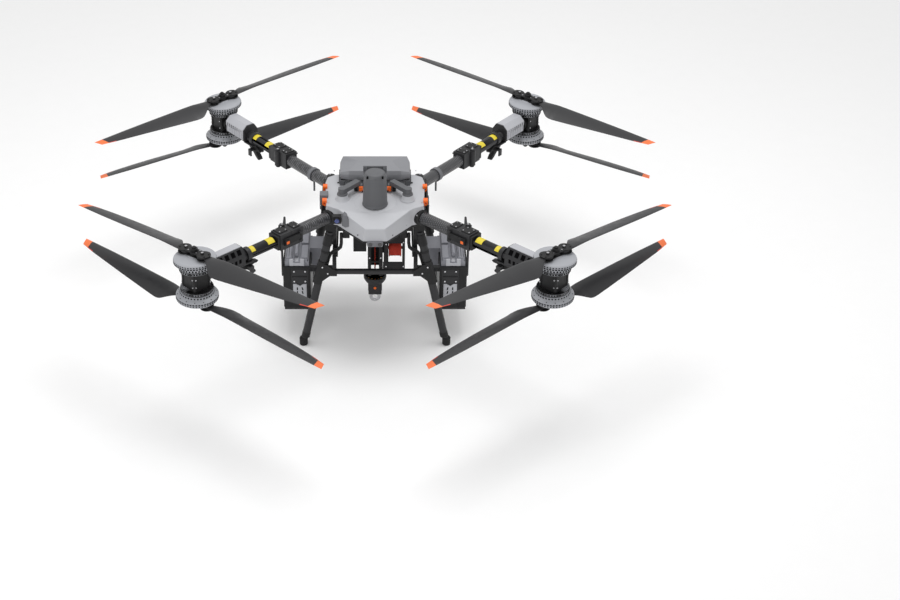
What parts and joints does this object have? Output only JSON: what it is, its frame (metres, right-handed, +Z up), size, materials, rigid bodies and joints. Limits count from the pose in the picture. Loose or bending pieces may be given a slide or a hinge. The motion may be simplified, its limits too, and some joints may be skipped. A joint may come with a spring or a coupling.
{
  "type": "folding multirotor cargo drone",
  "caption": "Folding cargo drone with coaxial rotors on carbon arms, side batteries, landing legs and a winch hook for hauling loads.",
  "frame": {"origin": "on the ground under the feet, midway between the four rotor axes", "axes": "+X to the right seen from the front, nose towards -Y, +Z up"},
  "size_m": [2.9056, 2.6807, 0.975],
  "materials": {
    "carbon": "woven carbon tube, satin",
    "black_plastic": "matt black",
    "grey_shell": "light grey, satin",
    "motor_grey": "painted grey, satin",
    "mount_grey": "dark housings",
    "dark_grey": "dark grey",
    "lid_grey": "mid grey",
    "blade": "black composite, orange tips",
    "steel": "brushed",
    "rubber": "matt",
    "battery_grey": "grey",
    "rope": "braided red",
    "orange": "orange"
  },
  "bodies": {
    "airframe": {"arm_knuckles": "black_plastic", "battery_cradles": "black_plastic", "camera_bracket": "dark_grey", "chassis_frame": "black_plastic", "cross_tubes": "carbon", "foot_pads": "rubber", "hinge_pins": "steel", "inner_arm_tubes": "carbon", "landing_legs": "carbon", "parachute_case": "dark_grey", "riser_covers": "dark_grey", "sensor_dome": "dark_grey", "sensor_modules": "battery_grey", "tie_hooks": "orange", "top_shell": "grey_shell", "winch_frame": "black_plastic", "winch_rope": "rope"},
    "arm_front_left": {"arm_tube_front_left": "carbon", "motor_mount_front_left": "mount_grey"},
    "lever_front_left": {"lock_lever_front_left": "black_plastic"},
    "rotor_upper_front_left": {"rotor_upper_front_left": "motor_grey"},
    "blade_upper_front_left_a": {"blade_upper_front_left_a": "blade"},
    "blade_upper_front_left_b": {"blade_upper_front_left_b": "blade"},
    "rotor_lower_front_left": {"rotor_lower_front_left": "motor_grey"},
    "blade_lower_front_left_a": {"blade_lower_front_left_a": "blade"},
    "blade_lower_front_left_b": {"blade_lower_front_left_b": "blade"},
    "arm_front_right": {"arm_tube_front_right": "carbon", "motor_mount_front_right": "mount_grey"},
    "lever_front_right": {"lock_lever_front_right": "black_plastic"},
    "rotor_upper_front_right": {"rotor_upper_front_right": "motor_grey"},
    "blade_upper_front_right_a": {"blade_upper_front_right_a": "blade"},
    "blade_upper_front_right_b": {"blade_upper_front_right_b": "blade"},
    "rotor_lower_front_right": {"rotor_lower_front_right": "motor_grey"},
    "blade_lower_front_right_a": {"blade_lower_front_right_a": "blade"},
    "blade_lower_front_right_b": {"blade_lower_front_right_b": "blade"},
    "arm_rear_left": {"arm_tube_rear_left": "carbon", "motor_mount_rear_left": "mount_grey"},
    "lever_rear_left": {"lock_lever_rear_left": "black_plastic"},
    "rotor_upper_rear_left": {"rotor_upper_rear_left": "motor_grey"},
    "blade_upper_rear_left_a": {"blade_upper_rear_left_a": "blade"},
    "blade_upper_rear_left_b": {"blade_upper_rear_left_b": "blade"},
    "rotor_lower_rear_left": {"rotor_lower_rear_left": "motor_grey"},
    "blade_lower_rear_left_a": {"blade_lower_rear_left_a": "blade"},
    "blade_lower_rear_left_b": {"blade_lower_rear_left_b": "blade"},
    "arm_rear_right": {"arm_tube_rear_right": "carbon", "motor_mount_rear_right": "mount_grey"},
    "lever_rear_right": {"lock_lever_rear_right": "black_plastic"},
    "rotor_upper_rear_right": {"rotor_upper_rear_right": "motor_grey"},
    "blade_upper_rear_right_a": {"blade_upper_rear_right_a": "blade"},
    "blade_upper_rear_right_b": {"blade_upper_rear_right_b": "blade"},
    "rotor_lower_rear_right": {"rotor_lower_rear_right": "motor_grey"},
    "blade_lower_rear_right_a": {"blade_lower_rear_right_a": "blade"},
    "blade_lower_rear_right_b": {"blade_lower_rear_right_b": "blade"},
    "lid": {"parachute_lid": "lid_grey"},
    "battery_left": {"battery_left": "battery_grey"},
    "battery_right": {"battery_right": "battery_grey"},
    "hook": {"hook_body": "dark_grey", "hook_shackle": "steel"},
    "drum": {"winch_drum": "rope"},
    "camera": {"camera_head": "dark_grey"}
  },
  "joints": [
    {"name": "arm_fold_front_left", "type": "hinge", "parent": "airframe", "child": "arm_front_left", "pos_m": [-0.44639, -0.4209, 0.733], "axis": [0, 0, -1], "range_deg": [0, 110]},
    {"name": "lock_lever_front_left", "type": "hinge", "parent": "airframe", "child": "lever_front_left", "pos_m": [-0.35683, -0.44295, 0.733], "axis": [0, 0, 1], "range_deg": [0, 70]},
    {"name": "spin_upper_front_left", "type": "hinge", "parent": "arm_front_left", "child": "rotor_upper_front_left", "pos_m": [-0.8245, -0.8245, 0.862], "axis": [-0.0257, 0.0273, 0.9993], "continuous": true},
    {"name": "fold_upper_front_left_a", "type": "hinge", "parent": "rotor_upper_front_left", "child": "blade_upper_front_left_a", "pos_m": [-0.86478, -0.79011, 0.86002], "axis": [0.0257, -0.0273, -0.9993], "range_deg": [-80, 80]},
    {"name": "fold_upper_front_left_b", "type": "hinge", "parent": "rotor_upper_front_left", "child": "blade_upper_front_left_b", "pos_m": [-0.78422, -0.85889, 0.86398], "axis": [-0.0257, 0.0273, 0.9993], "range_deg": [-80, 80]},
    {"name": "spin_lower_front_left", "type": "hinge", "parent": "arm_front_left", "child": "rotor_lower_front_left", "pos_m": [-0.8245, -0.8245, 0.604], "axis": [0.0257, -0.0273, 0.9993], "continuous": true},
    {"name": "fold_lower_front_left_a", "type": "hinge", "parent": "rotor_lower_front_left", "child": "blade_lower_front_left_a", "pos_m": [-0.86478, -0.79011, 0.60598], "axis": [-0.0257, 0.0273, -0.9993], "range_deg": [-80, 80]},
    {"name": "fold_lower_front_left_b", "type": "hinge", "parent": "rotor_lower_front_left", "child": "blade_lower_front_left_b", "pos_m": [-0.78422, -0.85889, 0.60202], "axis": [0.0257, -0.0273, 0.9993], "range_deg": [-80, 80]},
    {"name": "arm_fold_front_right", "type": "hinge", "parent": "airframe", "child": "arm_front_right", "pos_m": [0.44639, -0.4209, 0.733], "axis": [0, 0, 1], "range_deg": [0, 110]},
    {"name": "lock_lever_front_right", "type": "hinge", "parent": "airframe", "child": "lever_front_right", "pos_m": [0.35683, -0.44295, 0.733], "axis": [0, 0, -1], "range_deg": [0, 70]},
    {"name": "spin_upper_front_right", "type": "hinge", "parent": "arm_front_right", "child": "rotor_upper_front_right", "pos_m": [0.8245, -0.8245, 0.862], "axis": [0.0257, 0.0273, 0.9993], "continuous": true},
    {"name": "fold_upper_front_right_a", "type": "hinge", "parent": "rotor_upper_front_right", "child": "blade_upper_front_right_a", "pos_m": [0.86478, -0.79011, 0.86002], "axis": [0.0257, 0.0273, 0.9993], "range_deg": [-80, 80]},
    {"name": "fold_upper_front_right_b", "type": "hinge", "parent": "rotor_upper_front_right", "child": "blade_upper_front_right_b", "pos_m": [0.78422, -0.85889, 0.86398], "axis": [-0.0257, -0.0273, -0.9993], "range_deg": [-80, 80]},
    {"name": "spin_lower_front_right", "type": "hinge", "parent": "arm_front_right", "child": "rotor_lower_front_right", "pos_m": [0.8245, -0.8245, 0.604], "axis": [-0.0257, -0.0273, 0.9993], "continuous": true},
    {"name": "fold_lower_front_right_a", "type": "hinge", "parent": "rotor_lower_front_right", "child": "blade_lower_front_right_a", "pos_m": [0.86478, -0.79011, 0.60598], "axis": [-0.0257, -0.0273, 0.9993], "range_deg": [-80, 80]},
    {"name": "fold_lower_front_right_b", "type": "hinge", "parent": "rotor_lower_front_right", "child": "blade_lower_front_right_b", "pos_m": [0.78422, -0.85889, 0.60202], "axis": [0.0257, 0.0273, -0.9993], "range_deg": [-80, 80]},
    {"name": "arm_fold_rear_left", "type": "hinge", "parent": "airframe", "child": "arm_rear_left", "pos_m": [-0.50579, 0.37252, 0.733], "axis": [0, 0, 1], "range_deg": [0, 70]},
    {"name": "lock_lever_rear_left", "type": "hinge", "parent": "airframe", "child": "lever_rear_left", "pos_m": [-0.41405, 0.38198, 0.733], "axis": [0, 0, -1], "range_deg": [0, 70]},
    {"name": "spin_upper_rear_left", "type": "hinge", "parent": "arm_rear_left", "child": "rotor_upper_rear_left", "pos_m": [-0.8245, 0.8245, 0.862], "axis": [-0.0293, -0.0235, 0.9993], "continuous": true},
    {"name": "fold_upper_rear_left_a", "type": "hinge", "parent": "rotor_upper_rear_left", "child": "blade_upper_rear_left_a", "pos_m": [-0.78305, 0.85747, 0.86399], "axis": [0.0293, 0.0235, -0.9993], "range_deg": [-80, 80]},
    {"name": "fold_upper_rear_left_b", "type": "hinge", "parent": "rotor_upper_rear_left", "child": "blade_upper_rear_left_b", "pos_m": [-0.86595, 0.79153, 0.86001], "axis": [-0.0293, -0.0235, 0.9993], "range_deg": [-80, 80]},
    {"name": "spin_lower_rear_left", "type": "hinge", "parent": "arm_rear_left", "child": "rotor_lower_rear_left", "pos_m": [-0.8245, 0.8245, 0.604], "axis": [0.0293, 0.0235, 0.9993], "continuous": true},
    {"name": "fold_lower_rear_left_a", "type": "hinge", "parent": "rotor_lower_rear_left", "child": "blade_lower_rear_left_a", "pos_m": [-0.78305, 0.85747, 0.60201], "axis": [-0.0293, -0.0235, -0.9993], "range_deg": [-80, 80]},
    {"name": "fold_lower_rear_left_b", "type": "hinge", "parent": "rotor_lower_rear_left", "child": "blade_lower_rear_left_b", "pos_m": [-0.86595, 0.79153, 0.60599], "axis": [0.0293, 0.0235, 0.9993], "range_deg": [-80, 80]},
    {"name": "arm_fold_rear_right", "type": "hinge", "parent": "airframe", "child": "arm_rear_right", "pos_m": [0.50579, 0.37252, 0.733], "axis": [0, 0, -1], "range_deg": [0, 70]},
    {"name": "lock_lever_rear_right", "type": "hinge", "parent": "airframe", "child": "lever_rear_right", "pos_m": [0.41405, 0.38198, 0.733], "axis": [0, 0, 1], "range_deg": [0, 70]},
    {"name": "spin_upper_rear_right", "type": "hinge", "parent": "arm_rear_right", "child": "rotor_upper_rear_right", "pos_m": [0.8245, 0.8245, 0.862], "axis": [0.0293, -0.0235, 0.9993], "continuous": true},
    {"name": "fold_upper_rear_right_a", "type": "hinge", "parent": "rotor_upper_rear_right", "child": "blade_upper_rear_right_a", "pos_m": [0.78305, 0.85747, 0.86399], "axis": [0.0293, -0.0235, 0.9993], "range_deg": [-80, 80]},
    {"name": "fold_upper_rear_right_b", "type": "hinge", "parent": "rotor_upper_rear_right", "child": "blade_upper_rear_right_b", "pos_m": [0.86595, 0.79153, 0.86001], "axis": [-0.0293, 0.0235, -0.9993], "range_deg": [-80, 80]},
    {"name": "spin_lower_rear_right", "type": "hinge", "parent": "arm_rear_right", "child": "rotor_lower_rear_right", "pos_m": [0.8245, 0.8245, 0.604], "axis": [-0.0293, 0.0235, 0.9993], "continuous": true},
    {"name": "fold_lower_rear_right_a", "type": "hinge", "parent": "rotor_lower_rear_right", "child": "blade_lower_rear_right_a", "pos_m": [0.78305, 0.85747, 0.60201], "axis": [-0.0293, 0.0235, 0.9993], "range_deg": [-80, 80]},
    {"name": "fold_lower_rear_right_b", "type": "hinge", "parent": "rotor_lower_rear_right", "child": "blade_lower_rear_right_b", "pos_m": [0.86595, 0.79153, 0.60599], "axis": [0.0293, -0.0235, -0.9993], "range_deg": [-80, 80]},
    {"name": "lid_open", "type": "hinge", "parent": "airframe", "child": "lid", "pos_m": [0, 0.098, 0.826], "axis": [-1, 0, 0], "range_deg": [0, 100]},
    {"name": "battery_slide_left", "type": "slide", "parent": "airframe", "child": "battery_left", "axis": [0, 0, 1], "range_m": [0, 0.1]},
    {"name": "battery_slide_right", "type": "slide", "parent": "airframe", "child": "battery_right", "axis": [0, 0, 1], "range_m": [0, 0.1]},
    {"name": "hook_drop", "type": "slide", "parent": "airframe", "child": "hook", "axis": [0, 0, -1], "range_m": [0, 0.5], "deforming": ["winch_rope"]},
    {"name": "drum_spin", "type": "hinge", "parent": "airframe", "child": "drum", "pos_m": [0.102, -0.03, 0.426], "axis": [1, 0, 0], "range_deg": [0, 720]},
    {"name": "camera_tilt", "type": "hinge", "parent": "airframe", "child": "camera", "pos_m": [-0.1845, -0.337, 0.765], "axis": [-1, 0, 0], "range_deg": [-20, 20]}
  ],
  "couplings": [
    {"joint": "drum_spin", "follows": "hook_drop", "rad_per_m": 25}
  ]
}
